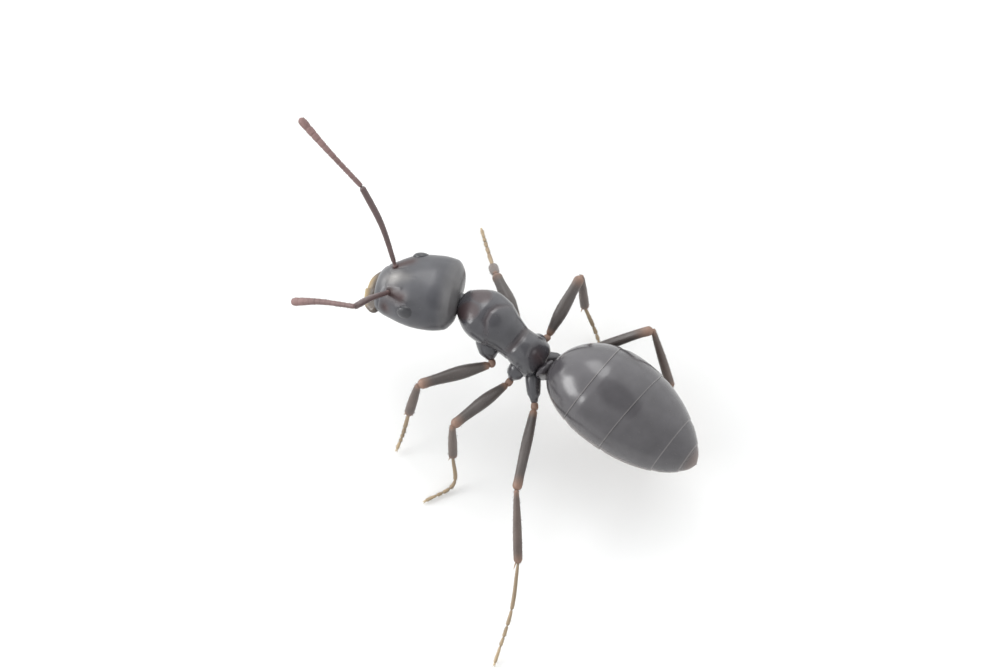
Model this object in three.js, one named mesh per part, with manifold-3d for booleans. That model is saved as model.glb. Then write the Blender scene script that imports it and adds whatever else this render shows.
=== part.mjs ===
// A black ant worker at life size, standing with its head turned to its left.
// Units are millimetres. The ant faces -Y, its left side is +X and +Z is up. The origin is on
// the floor, under the middle of the ant's own box.
import * as THREE from "three";
import { mergeVertices } from "three/addons/utils/BufferGeometryUtils.js";
import Module from "manifold-3d";

const wasm = await Module();
wasm.setup();

// ---- driving dimensions ------------------------------------------------------------------

const JOINT_GAP = 0.02; // clear space between two plates that meet
const LIMB_RADIUS = 0.25; // legs and feelers are half a millimetre thick in the solids
const FOOT_RADIUS = 0.21;
const SOLE = 0.85; // height of a foot's middle line on the floor, as a share of its radius
const SOCKET_CLEARANCE = 0.05; // from a feeler's root to the skull

const HEAD_CENTRE = [0.263, -1.71, 1.42];
const HEAD_PITCH = 16.5; // degrees, nose down
const HEAD_YAW = 26; // degrees, to the ant's left
const HEAD_ROLL = -8; // degrees, its crown leans to the ant's right
const OCCIPUT_NOTCH = 0.03; // how far the middle of the skull's back is drawn in
const NOTCH_START = 0.2; // where along the skull that begins
const NECK = [-0.025, -1.16, 1.48];
const MESOSOMA_PITCH = -10.6; // degrees, tail end lower
const PETIOLE_CENTRE = [0, 0.29, 1.08];
const PETIOLE_YAW = -10;
const GASTER_FRONT = [-0.071, 0.33, 1.27];
const GASTER_PITCH = -8.4;
const GASTER_YAW = 5.3;
const GASTER_LENGTH = 2.35;
const GASTER_ARCH = 0.1; // how far its middle line is arched upwards
const GASTER_SKEW = 0.12; // its seams stand further forward on the left side, as a slope

// Half-sections along a body part, from its front to its back:
// distance, half width, top, bottom, level of the widest line.
const HEAD_SECTIONS = [
  [-0.55, 0.25, 0.06, -0.25, -0.06],
  [-0.515, 0.295, 0.13, -0.28, -0.05],
  [-0.42, 0.362, 0.225, -0.3, -0.03],
  [-0.274, 0.427, 0.3, -0.325, -0.01],
  [-0.1, 0.495, 0.35, -0.34, 0],
  [0.1, 0.54, 0.37, -0.35, 0],
  [0.3, 0.554, 0.36, -0.345, 0],
  [0.5, 0.528, 0.31, -0.31, 0],
  [0.61, 0.4, 0.24, -0.25, 0],
  [0.655, 0.26, 0.15, -0.17, 0],
];
const TRUNK_FRONT = [0, 0.14, 0.1, -0.1, 0];
const TRUNK_WIDEST = [0.42, 0.37, 0.39, -0.25, 0.13];
const TRUNK_BEHIND = [
  [0.58, 0.358, 0.41, -0.27, 0.13],
  [0.75, 0.3, 0.385, -0.29, 0.11],
  [0.9, 0.264, 0.3, -0.3, 0.08],
  [0.96, 0.258, 0.272, -0.3, 0.05],
  [1.03, 0.261, 0.295, -0.3, 0.05],
  [1.13, 0.28, 0.312, -0.29, 0.04],
  [1.24, 0.29, 0.262, -0.27, 0.02],
  [1.34, 0.265, 0.18, -0.25, 0],
  [1.43, 0.21, 0.08, -0.2, -0.02],
];
const TRUNK_END = TRUNK_BEHIND.at(-1)[0];
const FRONT_ROWS = 6; // rows of the trunk's rounded front
const MESOSOMA_PLATES = { pronotum: [0, 0.5], mesonotum: [0.5, 0.94], propodeum: [0.94, TRUNK_END] };

// Gaster: rounded like an ellipse in front of its widest place and drawn out behind it.
const GASTER_HALF_WIDTH = 0.68;
const GASTER_WIDEST = 1; // distance of its widest place from its front
const GASTER_FRONT_POWER = 2.1; // 2 would be an ellipse
const GASTER_TAIL_POWER = 0.65; // 0.5 would be an ellipse
const GASTER_TIP = 0.045; // half width at both its ends
const GASTER_BOW = 0.09; // how far its middle line bows to the ant's right
const GASTER_HEIGHT_SHARE = 0.88;
const GASTER_SIDES = 24;
const GASTER_SEAMS = [0, 0.6, 1.235, 1.915, 2.2, 2.35];

// Petiole scale, from the floor side up: height, half width, half thickness.
const PETIOLE_SECTIONS = [
  [-0.13, 0.08, 0.05],
  [-0.08, 0.1, 0.062],
  [0.04, 0.13, 0.068],
  [0.15, 0.158, 0.066],
  [0.22, 0.148, 0.058],
  [0.27, 0.09, 0.042],
];

const EYE_CENTRE = [0.422, 0.03, 0.158]; // left eye in the head's own frame
const EYE_RADII = [0.075, 0.135, 0.112];
const EYE_TURN = 18; // degrees, the eye looks a little upwards
// Left mandible, from its hinge to its tip, in the head's own frame, and its radii.
const JAW = [[0.25, -0.56, -0.13], [0.18, -0.64, -0.14], [0.082, -0.69, -0.15]];
const JAW_RADII = [[0, 0.07], [0.5, 0.08], [1, 0.062]];

// Joints of each leg: coxa root, hip, knee, ankle, then the middle and the tip of the foot.
const LEGS = {
  front_left: [
    [0.157, -0.575, 1.33], [0.36, -0.324, 1.15], [1.24, -0.88, 1.28],
    [1.46, -0.87, 0.63], [1.62, -0.84, 0.25], [1.83, -0.8, 0.03],
  ],
  front_right: [
    [-0.19, -0.6, 1.32], [-0.33, -0.42, 1.12], [-0.72, -1.12, 0.98],
    [-0.93, -1.33, 0.45], [-1.12, -1.56, 0.2], [-1.4, -1.92, 0.03],
  ],
  middle_left: [
    [0.19, -0.01, 1.18], [0.397, -0.012, 1.03], [1.4, -0.17, 1.25],
    [1.54, -0.05, 0.53], [1.72, 0.1, 0.1], [2.17, -0.08, 0.03],
  ],
  middle_right: [
    [-0.21, -0.06, 1.17], [-0.43, -0.01, 1.02], [-1.33, -0.15, 1.24],
    [-1.23, 0, 0.48], [-1.15, 0.24, 0.16], [-0.95, 0.56, 0.03],
  ],
  hind_left: [
    [0.13, 0.19, 1.06], [0.42, 0.45, 0.92], [1.49, 0.99, 0.93],
    [2.17, 1.56, 0.5], [2.68, 1.85, 0.26], [3.39, 2.11, 0.03],
  ],
  hind_right: [
    [-0.15, 0.13, 1.04], [-0.41, 0.37, 0.86], [-1.28, 1.11, 1.41],
    [-1.04, 1.62, 0.55], [-0.84, 1.9, 0.25], [-0.54, 2.33, 0.03],
  ],
};

// Joints of each feeler: socket, middle of the scape, elbow, then the middle and tip of the lash.
const ANTENNAE = {
  left: [
    [0.526, -1.962, 1.619], [0.886, -1.956, 2.06], [1.236, -1.944, 2.5],
    [1.37, -2.42, 2.16], [1.507, -2.834, 1.75],
  ],
  right: [
    [0.194, -2.125, 1.567], [-0.045, -2.52, 1.93], [-0.21, -2.99, 2.27],
    [-0.3, -3.62, 2.36], [-0.43, -4.25, 2.37],
  ],
};

// Radii of the limbs: share of the length, radius.
const COXA_RADII = [[0, 0.175], [0.4, 0.17], [1, 0.1]];
const FEMUR_RADII = [[0, 0.11], [0.3, 0.15], [0.65, LIMB_RADIUS], [1, 0.21]];
const TIBIA_RADII = [[0, 0.21], [0.4, LIMB_RADIUS], [1, 0.19]];
const TARSUS_RADII = [[0, 0.19], [0.3, FOOT_RADIUS], [0.8, FOOT_RADIUS], [1, 0.17]];
const SCAPE_RADII = [[0, 0.09], [0.3, 0.17], [0.6, LIMB_RADIUS], [1, 0.21]];
const LASH_RADII = [[0, 0.21], [0.4, LIMB_RADIUS], [1, 0.21]];
const DOME_LEANS = [1.2, 0.6]; // latitudes of the rings on a limb's rounded end, in radians
const RING_REFERENCE = [0.31, 0.27, 0.91]; // sets where a limb's ring starts; no limb runs along it

// How finely each part is cut along its length, and round it.
const HEAD_STEPS = 14;
const HEAD_SIDES = 20;
const EYE_STEPS = [12, 8];
const JAW_STEPS = 3;
const PLATE_STEPS = 6;
const TRUNK_SIDES = 16;
const SCALE_SIDES = 14;
const FIRST_GASTER_STEPS = 7;
const GASTER_STEPS = 4;
const LIMB_SIDES = 8;
const LEG_STEPS = { coxa: 3, femur: 6, tibia: 5, tarsus: 7 };
const FEELER_STEPS = { scape: 7, lash: 8 };

// ---- finishes ----------------------------------------------------------------------------

const finish = (color, roughness) => () =>
  new THREE.MeshStandardMaterial({ color, roughness, metalness: 0 });
const shell = finish(0x26272b, 0.3);
const lens = finish(0x131316, 0.35);
const limbShell = finish(0x2e2826, 0.4);
const footShell = finish(0x8a6a48, 0.5);
const feelerShell = finish(0x4a2f2a, 0.45);
const jawShell = finish(0x6b4630, 0.4);

// ---- shape tools -------------------------------------------------------------------------

const ant = new THREE.Group();

function add(group, name, geometry, material) {
  const mesh = new THREE.Mesh(geometry, material());
  mesh.name = name;
  group.add(mesh);
  return mesh;
}

// Smooth value of one column of a table at a distance, with no overshoot between its rows.
function valueAt(rows, column, distance) {
  const last = rows.length - 1;
  let i = 0;
  while (i < last - 1 && distance > rows[i + 1][0]) i += 1;
  const slope = (k) => (rows[k + 1][column] - rows[k][column]) / (rows[k + 1][0] - rows[k][0]);
  const tangent = (k) => {
    if (k === 0) return slope(0);
    if (k === last) return slope(last - 1);
    const before = slope(k - 1);
    const after = slope(k);
    return before * after <= 0 ? 0 : (2 * before * after) / (before + after);
  };
  const span = rows[i + 1][0] - rows[i][0];
  const t = THREE.MathUtils.clamp((distance - rows[i][0]) / span, 0, 1);
  const rise = t * t * (3 - 2 * t);
  return (
    rows[i][column] * (1 - rise) +
    rows[i + 1][column] * rise +
    span * t * (1 - t) * ((1 - t) * tangent(i) - t * tangent(i + 1))
  );
}

// Closed body through a row of rings, with a fan of triangles over each end.
function loft(rings) {
  const sides = rings[0].length;
  const points = rings.flat();
  const middle = (ring) =>
    ring.reduce((sum, p) => sum.add(p), new THREE.Vector3()).divideScalar(sides);
  const first = points.push(middle(rings[0])) - 1;
  const end = points.push(middle(rings.at(-1))) - 1;
  const faces = [];
  for (let j = 0; j < sides; j += 1) {
    const k = (j + 1) % sides;
    faces.push(first, k, j);
    for (let i = 0; i < rings.length - 1; i += 1) {
      const a = i * sides + j;
      const b = i * sides + k;
      faces.push(a, b, a + sides, b, b + sides, a + sides);
    }
    const tail = (rings.length - 1) * sides;
    faces.push(end, tail + j, tail + k);
  }
  const geometry = new THREE.BufferGeometry();
  const coordinates = points.flatMap((p) => p.toArray());
  geometry.setAttribute("position", new THREE.Float32BufferAttribute(coordinates, 3));
  geometry.setIndex(faces);
  geometry.computeVertexNormals();
  return geometry;
}

// Ring across a body part that runs along Y: egg-shaped above and below its widest level.
function bodyRing(y, halfWidth, top, bottom, level, sides) {
  return Array.from({ length: sides }, (_, j) => {
    const angle = (-2 * Math.PI * j) / sides;
    const reach = Math.sin(angle) > 0 ? top - level : level - bottom;
    return new THREE.Vector3(
      halfWidth * Math.cos(angle),
      y,
      level + reach * Math.sin(angle),
    );
  });
}

function bodySlice(sections, from, to, count, sides) {
  const rings = [];
  for (let i = 0; i <= count; i += 1) {
    const y = THREE.MathUtils.lerp(from, to, i / count);
    rings.push(bodyRing(y, ...[1, 2, 3, 4].map((column) => valueAt(sections, column, y)), sides));
  }
  return loft(rings);
}

// Round limb along a smooth line, with a dome about each end point. Radii are [share, radius].
function limb(joints, radii, steps, sides = LIMB_SIDES) {
  const points = joints.map((p) => new THREE.Vector3(...p));
  const curve = new THREE.CatmullRomCurve3(points, false, "centripetal");
  const reference = new THREE.Vector3(...RING_REFERENCE).normalize();
  const ring = (share, lean) => {
    const along = curve.getTangentAt(share);
    const side = new THREE.Vector3().crossVectors(reference, along).normalize();
    const over = new THREE.Vector3().crossVectors(along, side);
    const radius = valueAt(radii, 1, share);
    const centre = curve.getPointAt(share).addScaledVector(along, radius * Math.sin(lean));
    const reach = radius * Math.cos(lean);
    return Array.from({ length: sides }, (_, j) => {
      const angle = (2 * Math.PI * j) / sides;
      return centre
        .clone()
        .addScaledVector(side, reach * Math.cos(angle))
        .addScaledVector(over, reach * Math.sin(angle));
    });
  };
  const stretch = Array.from({ length: steps + 1 }, (_, i) => ring(i / steps, 0));
  const start = DOME_LEANS.map((lean) => ring(0, -lean));
  const end = DOME_LEANS.map((lean) => ring(1, lean)).reverse();
  return loft([...start, ...stretch, ...end]);
}

// Cuts a limb off on the plane midway to its neighbour at a joint, half the joint gap short of it.
// Both directions point away from the joint: its own and the neighbour's.
function mitred(solid, joint, own, neighbour) {
  const away = direction(joint, neighbour).sub(direction(joint, own)).normalize();
  const waste = new THREE.BoxGeometry(1, 1, 1);
  waste.translate(0, 0, 0.5 - JOINT_GAP / 2);
  waste.applyQuaternion(new THREE.Quaternion().setFromUnitVectors(new THREE.Vector3(0, 0, 1), away));
  waste.translate(...joint);
  return solid.subtract(toSolid(waste));
}

function largest(solid) {
  return solid.decompose().reduce((a, b) => (a.volume() > b.volume() ? a : b));
}

function direction(from, to) {
  return new THREE.Vector3(...to).sub(new THREE.Vector3(...from)).normalize();
}

// Point on a straight stretch, a given distance from its end towards its start.
function shortOf(end, start, distance) {
  return direction(end, start).multiplyScalar(distance).add(new THREE.Vector3(...end)).toArray();
}

function toSolid(geometry) {
  const bare = geometry.clone();
  bare.deleteAttribute("normal");
  bare.deleteAttribute("uv");
  const merged = mergeVertices(bare);
  return new wasm.Manifold(
    new wasm.Mesh({
      numProp: 3,
      vertProperties: new Float32Array(merged.attributes.position.array),
      triVerts: new Uint32Array(merged.index.array),
    }),
  );
}

function fromSolid(solid) {
  const mesh = solid.getMesh();
  const geometry = new THREE.BufferGeometry();
  geometry.setAttribute("position", new THREE.Float32BufferAttribute(mesh.vertProperties, 3));
  geometry.setIndex(Array.from(mesh.triVerts));
  geometry.computeVertexNormals();
  return geometry;
}

function turned(position, pitch, yaw, roll = 0) {
  const group = new THREE.Group();
  group.position.set(...position);
  group.rotation.set(...[pitch, roll, yaw].map(THREE.MathUtils.degToRad), "ZXY");
  group.updateMatrix();
  ant.add(group);
  return group;
}

// ---- head --------------------------------------------------------------------------------

function eyeball(side, growth) {
  const ball = new THREE.SphereGeometry(1, ...EYE_STEPS);
  ball.scale(EYE_RADII[0] + growth, EYE_RADII[1] + growth, EYE_RADII[2] + growth);
  ball.rotateY(THREE.MathUtils.degToRad(-EYE_TURN * side));
  ball.translate(EYE_CENTRE[0] * side, EYE_CENTRE[1], EYE_CENTRE[2]);
  return ball;
}

function addHead() {
  const group = turned(HEAD_CENTRE, HEAD_PITCH, HEAD_YAW, HEAD_ROLL);
  const back = HEAD_SECTIONS.at(-1)[0];
  const whole = bodySlice(HEAD_SECTIONS, HEAD_SECTIONS[0][0], back, HEAD_STEPS, HEAD_SIDES);
  const position = whole.attributes.position;
  for (let i = 0; i < position.count; i += 1) {
    const y = position.getY(i);
    const nearMiddle = Math.cos(Math.PI * position.getX(i)) ** 2;
    position.setY(i, y - OCCIPUT_NOTCH * nearMiddle * THREE.MathUtils.smoothstep(y, NOTCH_START, back));
  }
  let skull = toSolid(whole);
  const face = toSolid(whole.clone().translate(0, -JOINT_GAP, 0));
  for (const [name, side] of [["left", 1], ["right", -1]]) {
    skull = skull.subtract(toSolid(eyeball(side, JOINT_GAP)));
    add(group, `eye_${name}`, eyeball(side, 0), lens);
    const jaw = toSolid(limb(JAW.map(([x, y, z]) => [x * side, y, z]), JAW_RADII, JAW_STEPS));
    add(group, `mandible_${name}`, fromSolid(jaw.subtract(face)), jawShell);
  }
  add(group, "head", fromSolid(skull), shell);
}

// ---- trunk -------------------------------------------------------------------------------

function petioleScale(growth) {
  return loft(
    PETIOLE_SECTIONS.map(([height, halfWidth, halfThickness]) =>
      Array.from({ length: SCALE_SIDES }, (_, j) => {
        const angle = (2 * Math.PI * j) / SCALE_SIDES;
        const across = (halfWidth + growth) * Math.cos(angle);
        return new THREE.Vector3(across, (halfThickness + growth) * Math.sin(angle), height);
      }),
    ),
  );
}

// Rows of the trunk: its front swells like a quarter wave from the neck to its widest place.
function trunkSections() {
  const front = Array.from({ length: FRONT_ROWS }, (_, i) => {
    const share = i / FRONT_ROWS;
    const rise = Math.sin((Math.PI / 2) * share);
    return TRUNK_FRONT.map((value, k) =>
      THREE.MathUtils.lerp(value, TRUNK_WIDEST[k], k === 0 ? share : rise),
    );
  });
  return [...front, TRUNK_WIDEST, ...TRUNK_BEHIND];
}

// Adds the trunk and gives back a slightly larger copy of it, to keep the legs clear. The
// petiole's scale stands in a hollow at the back of the propodeum.
function addTrunk() {
  const group = turned(NECK, MESOSOMA_PITCH, 0);
  const sections = trunkSections();
  const waist = turned(PETIOLE_CENTRE, 0, PETIOLE_YAW);
  add(waist, "petiole", petioleScale(0), shell);
  const roomForScale = petioleScale(JOINT_GAP).applyMatrix4(waist.matrix);
  const hollow = toSolid(roomForScale.clone().applyMatrix4(group.matrix.clone().invert()));
  for (const [name, [from, to]] of Object.entries(MESOSOMA_PLATES)) {
    const plate = bodySlice(sections, from, to - JOINT_GAP, PLATE_STEPS, TRUNK_SIDES);
    add(group, name, fromSolid(toSolid(plate).subtract(hollow)), shell);
  }
  const larger = sections.map(([y, halfWidth, top, bottom, level]) => [
    y,
    halfWidth + JOINT_GAP,
    top + JOINT_GAP,
    bottom - JOINT_GAP,
    level,
  ]);
  const steps = PLATE_STEPS * Object.keys(MESOSOMA_PLATES).length;
  const whole = bodySlice(larger, 0, TRUNK_END, steps, TRUNK_SIDES);
  return toSolid(whole.applyMatrix4(group.matrix)).add(toSolid(roomForScale));
}

function gasterHalfWidth(y) {
  const before = THREE.MathUtils.clamp((GASTER_WIDEST - y) / GASTER_WIDEST, 0, 1);
  const behind = THREE.MathUtils.clamp((y - GASTER_WIDEST) / (GASTER_LENGTH - GASTER_WIDEST), 0, 1);
  const front = (1 - before ** GASTER_FRONT_POWER) ** (1 / GASTER_FRONT_POWER);
  const tail = (1 - behind ** 2) ** GASTER_TAIL_POWER;
  return Math.max(GASTER_HALF_WIDTH * front * tail, GASTER_TIP);
}

function gasterMiddle(y) {
  const share = THREE.MathUtils.clamp(y / GASTER_LENGTH, 0, 1);
  return -GASTER_BOW * Math.sin(Math.PI * Math.sqrt(share));
}

// Length of the gaster between two slanted seams.
function gasterPlate(from, to, count, growth) {
  const rings = Array.from({ length: count + 1 }, (_, k) => {
    const share = k / count;
    const at = THREE.MathUtils.lerp(from, to, from === 0 ? share * share : share);
    const slant = GASTER_SKEW * Math.sin((Math.PI * at) / GASTER_LENGTH) * gasterHalfWidth(at);
    return Array.from({ length: GASTER_SIDES }, (_, j) => {
      const angle = (-2 * Math.PI * j) / GASTER_SIDES;
      const y = at - slant * Math.cos(angle);
      const halfWidth = gasterHalfWidth(y);
      const height = halfWidth * GASTER_HEIGHT_SHARE + growth;
      const arch = GASTER_ARCH * Math.sin((Math.PI * y) / GASTER_LENGTH);
      return new THREE.Vector3(
        gasterMiddle(y) + (halfWidth + growth) * Math.cos(angle),
        y,
        arch + height * Math.sin(angle),
      );
    });
  });
  return loft(rings);
}

// Adds the gaster's plates and gives back its first one a little larger, to keep the legs clear.
function addGaster() {
  const group = turned(GASTER_FRONT, GASTER_PITCH, GASTER_YAW);
  for (let i = 1; i < GASTER_SEAMS.length; i += 1) {
    const from = GASTER_SEAMS[i - 1];
    const to = GASTER_SEAMS[i] - (i < GASTER_SEAMS.length - 1 ? JOINT_GAP : 0);
    const steps = i === 1 ? FIRST_GASTER_STEPS : GASTER_STEPS;
    add(group, `gaster_segment_${i}`, gasterPlate(from, to, steps, 0), shell);
  }
  const larger = gasterPlate(0, GASTER_SEAMS[1], FIRST_GASTER_STEPS, JOINT_GAP);
  return toSolid(larger.applyMatrix4(group.matrix));
}

// ---- limbs -------------------------------------------------------------------------------

// Stands a foot on the floor: its line is raised to the foot's height and its sole is flat.
function footOnFloor(joints) {
  const raised = joints.map(([x, y, z]) => [x, y, Math.max(z, SOLE * FOOT_RADIUS)]);
  const geometry = limb(raised, TARSUS_RADII, LEG_STEPS.tarsus);
  const position = geometry.attributes.position;
  for (let i = 0; i < position.count; i += 1) {
    position.setZ(i, Math.max(0, position.getZ(i)));
  }
  return geometry;
}

function addLeg(name, [root, hip, knee, ankle, instep, tip], clearance) {
  const coxa = toSolid(limb([root, hip], COXA_RADII, LEG_STEPS.coxa)).subtract(clearance);
  const femur = toSolid(limb([hip, knee], FEMUR_RADII, LEG_STEPS.femur)).subtract(clearance);
  const tibia = toSolid(limb([knee, ankle], TIBIA_RADII, LEG_STEPS.tibia));
  const foot = toSolid(footOnFloor([ankle, instep, shortOf(tip, instep, TARSUS_RADII.at(-1)[1])]));
  const pieces = {
    coxa: largest(mitred(coxa, hip, root, knee)),
    femur: mitred(mitred(femur, hip, knee, root), knee, hip, ankle),
    tibia: mitred(mitred(tibia, knee, ankle, hip), ankle, knee, instep),
    tarsus: mitred(foot, ankle, instep, knee),
  };
  for (const [piece, solid] of Object.entries(pieces)) {
    add(ant, `${piece}_${name}`, fromSolid(solid), piece === "tarsus" ? footShell : limbShell);
  }
}

function addAntenna(name, [socket, bow, elbow, middle, tip]) {
  const root = shortOf(socket, bow, SOCKET_CLEARANCE + SCAPE_RADII[0][1]);
  const end = shortOf(tip, middle, LASH_RADII.at(-1)[1]);
  const wholeScape = toSolid(limb([root, bow, elbow], SCAPE_RADII, FEELER_STEPS.scape));
  const scape = mitred(wholeScape, elbow, bow, middle);
  const wholeLash = toSolid(limb([elbow, middle, end], LASH_RADII, FEELER_STEPS.lash));
  const lash = mitred(wholeLash, elbow, middle, bow);
  add(ant, `antenna_${name}_scape`, fromSolid(scape), feelerShell);
  add(ant, `antenna_${name}_lash`, fromSolid(lash), feelerShell);
}

// ---- the ant -----------------------------------------------------------------------------

addHead();
const clearance = addTrunk().add(addGaster());
for (const [name, joints] of Object.entries(LEGS)) {
  addLeg(name, joints, clearance);
}
for (const [name, joints] of Object.entries(ANTENNAE)) {
  addAntenna(name, joints);
}

const box = new THREE.Box3().setFromObject(ant, true);
const middle = box.getCenter(new THREE.Vector3());
ant.position.set(-middle.x, -middle.y, -box.min.z);
ant.updateMatrixWorld(true);

export default ant;
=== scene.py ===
import math

import bpy
import numpy as np
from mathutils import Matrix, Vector


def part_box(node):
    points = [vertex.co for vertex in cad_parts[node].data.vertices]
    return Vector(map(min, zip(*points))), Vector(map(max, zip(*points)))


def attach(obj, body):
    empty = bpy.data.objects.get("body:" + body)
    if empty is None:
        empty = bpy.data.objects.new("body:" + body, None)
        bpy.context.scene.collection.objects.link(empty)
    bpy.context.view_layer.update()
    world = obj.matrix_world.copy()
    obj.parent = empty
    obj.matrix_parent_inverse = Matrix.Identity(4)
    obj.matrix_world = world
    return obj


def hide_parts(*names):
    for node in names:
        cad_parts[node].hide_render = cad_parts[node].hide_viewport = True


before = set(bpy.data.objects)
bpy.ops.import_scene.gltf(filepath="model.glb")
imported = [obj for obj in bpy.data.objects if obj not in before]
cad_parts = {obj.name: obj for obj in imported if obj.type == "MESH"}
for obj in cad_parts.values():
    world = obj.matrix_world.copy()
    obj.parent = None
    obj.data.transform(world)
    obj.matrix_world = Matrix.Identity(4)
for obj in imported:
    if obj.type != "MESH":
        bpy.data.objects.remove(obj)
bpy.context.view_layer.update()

# A glossy black ant worker at life size. Shapes are worked out in millimetres in the ant's own
# frame: it faces -Y, its left side is +X, +Z is up and the floor is at 0.

# ---- driving sizes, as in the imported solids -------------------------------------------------

MM = 0.001
HEAD_CENTRE = (0.263, -1.71, 1.42)
HEAD_PITCH = 16.5
HEAD_YAW = 26
HEAD_ROLL = -8
OCCIPUT_NOTCH = 0.03
NOTCH_START = 0.2
NECK = (-0.025, -1.16, 1.48)
MESOSOMA_PITCH = -10.6
PETIOLE_CENTRE = (0, 0.29, 1.08)
PETIOLE_YAW = -10
GASTER_FRONT = (-0.071, 0.33, 1.27)
GASTER_PITCH = -8.4
GASTER_YAW = 5.3
GASTER_LENGTH = 2.35
GASTER_ARCH = 0.1
GASTER_SKEW = 0.12
GASTER_HEIGHT_SHARE = 0.88
GASTER_SEAMS = (0, 0.6, 1.235, 1.915, 2.2, 2.35)
EYE_CENTRE = (0.422, 0.03, 0.158)
EYE_RADII = (0.075, 0.135, 0.112)
EYE_TURN = 18
SOCKET = (0.187, -0.262, 0.262)  # of the left feeler, on the head
INSET = 0.012  # the skin lies this far inside the solids

# Half-sections from front to back: distance, half width, top, bottom, level of the widest line.
HEAD_SECTIONS = (
    (-0.55, 0.25, 0.06, -0.25, -0.06),
    (-0.515, 0.295, 0.13, -0.28, -0.05),
    (-0.42, 0.362, 0.225, -0.3, -0.03),
    (-0.274, 0.427, 0.3, -0.325, -0.01),
    (-0.1, 0.495, 0.35, -0.34, 0),
    (0.1, 0.54, 0.37, -0.35, 0),
    (0.3, 0.554, 0.36, -0.345, 0),
    (0.5, 0.528, 0.31, -0.31, 0),
    (0.61, 0.4, 0.24, -0.25, 0),
    (0.655, 0.26, 0.15, -0.17, 0),
)
# The neck, the widest place and the rows behind it; trunk_sections works out the rows between
# the first two.
TRUNK_FRONT = (0, 0.14, 0.1, -0.1, 0)
TRUNK_WIDEST = (0.42, 0.37, 0.39, -0.25, 0.13)
TRUNK_BEHIND = (
    (0.58, 0.358, 0.41, -0.27, 0.13),
    (0.75, 0.3, 0.385, -0.29, 0.11),
    (0.9, 0.264, 0.3, -0.3, 0.08),
    (0.96, 0.258, 0.272, -0.3, 0.05),
    (1.03, 0.261, 0.295, -0.3, 0.05),
    (1.13, 0.28, 0.312, -0.29, 0.04),
    (1.24, 0.29, 0.262, -0.27, 0.02),
    (1.34, 0.265, 0.18, -0.25, 0),
    (1.43, 0.21, 0.08, -0.2, -0.02),
)
TRUNK_END = TRUNK_BEHIND[-1][0]
FRONT_ROWS = 6  # rows of the trunk's rounded front
# Gaster: rounded like an ellipse in front of its widest place and drawn out behind it.
GASTER_HALF_WIDTH = 0.68
GASTER_WIDEST = 1
GASTER_FRONT_POWER = 2.1  # 2 would be an ellipse
GASTER_TAIL_POWER = 0.65  # 0.5 would be an ellipse
GASTER_TIP = 0.045  # half width at both its ends
GASTER_BOW = 0.09  # how far its middle line bows to the ant's right
# The petiole's scale, from the floor side up: height, half width, half thickness.
PETIOLE_SECTIONS = (
    (-0.13, 0.08, 0.05),
    (-0.08, 0.1, 0.062),
    (0.04, 0.13, 0.068),
    (0.15, 0.158, 0.066),
    (0.22, 0.148, 0.058),
    (0.27, 0.09, 0.042),
)

# Joints of each leg: coxa root, hip, knee, ankle, then the middle and the tip of the foot.
LEGS = {
    "front_left": (
        (0.157, -0.575, 1.33), (0.36, -0.324, 1.15), (1.24, -0.88, 1.28),
        (1.46, -0.87, 0.63), (1.62, -0.84, 0.25), (1.83, -0.8, 0.03),
    ),
    "front_right": (
        (-0.19, -0.6, 1.32), (-0.33, -0.42, 1.12), (-0.72, -1.12, 0.98),
        (-0.93, -1.33, 0.45), (-1.12, -1.56, 0.2), (-1.4, -1.92, 0.03),
    ),
    "middle_left": (
        (0.19, -0.01, 1.18), (0.397, -0.012, 1.03), (1.4, -0.17, 1.25),
        (1.54, -0.05, 0.53), (1.72, 0.1, 0.1), (2.17, -0.08, 0.03),
    ),
    "middle_right": (
        (-0.21, -0.06, 1.17), (-0.43, -0.01, 1.02), (-1.33, -0.15, 1.24),
        (-1.23, 0, 0.48), (-1.15, 0.24, 0.16), (-0.95, 0.56, 0.03),
    ),
    "hind_left": (
        (0.13, 0.19, 1.06), (0.42, 0.45, 0.92), (1.49, 0.99, 0.93),
        (2.17, 1.56, 0.5), (2.68, 1.85, 0.26), (3.39, 2.11, 0.03),
    ),
    "hind_right": (
        (-0.15, 0.13, 1.04), (-0.41, 0.37, 0.86), (-1.28, 1.11, 1.41),
        (-1.04, 1.62, 0.55), (-0.84, 1.9, 0.25), (-0.54, 2.33, 0.03),
    ),
}
# Real radii of each pair of legs: femur at its base, middle and knee, tibia at its top and
# widest, then the foot.
LEG_RADII = {
    "front": (0.058, 0.094, 0.07, 0.048, 0.066, 0.026),
    "middle": (0.053, 0.088, 0.068, 0.046, 0.061, 0.025),
    "hind": (0.055, 0.072, 0.064, 0.042, 0.061, 0.025),
}
# Joints of each feeler: socket, middle of the scape, elbow, then the middle and tip of the lash.
ANTENNAE = {
    "left": (
        (0.526, -1.962, 1.619), (0.886, -1.956, 2.06), (1.236, -1.944, 2.5),
        (1.37, -2.42, 2.16), (1.507, -2.834, 1.75),
    ),
    "right": (
        (0.194, -2.125, 1.567), (-0.045, -2.52, 1.93), (-0.21, -2.99, 2.27),
        (-0.3, -3.62, 2.36), (-0.43, -4.25, 2.37),
    ),
}

HEAD_RINGS, TRUNK_RINGS = 280, 340
BODY_SIDES = 320  # points round the head and the trunk
UP = np.array((0.0, 0.0, 1.0))
SIDES = (("left", 1), ("right", -1))


# ---- shape tools ----------------------------------------------------------------------------


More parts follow.
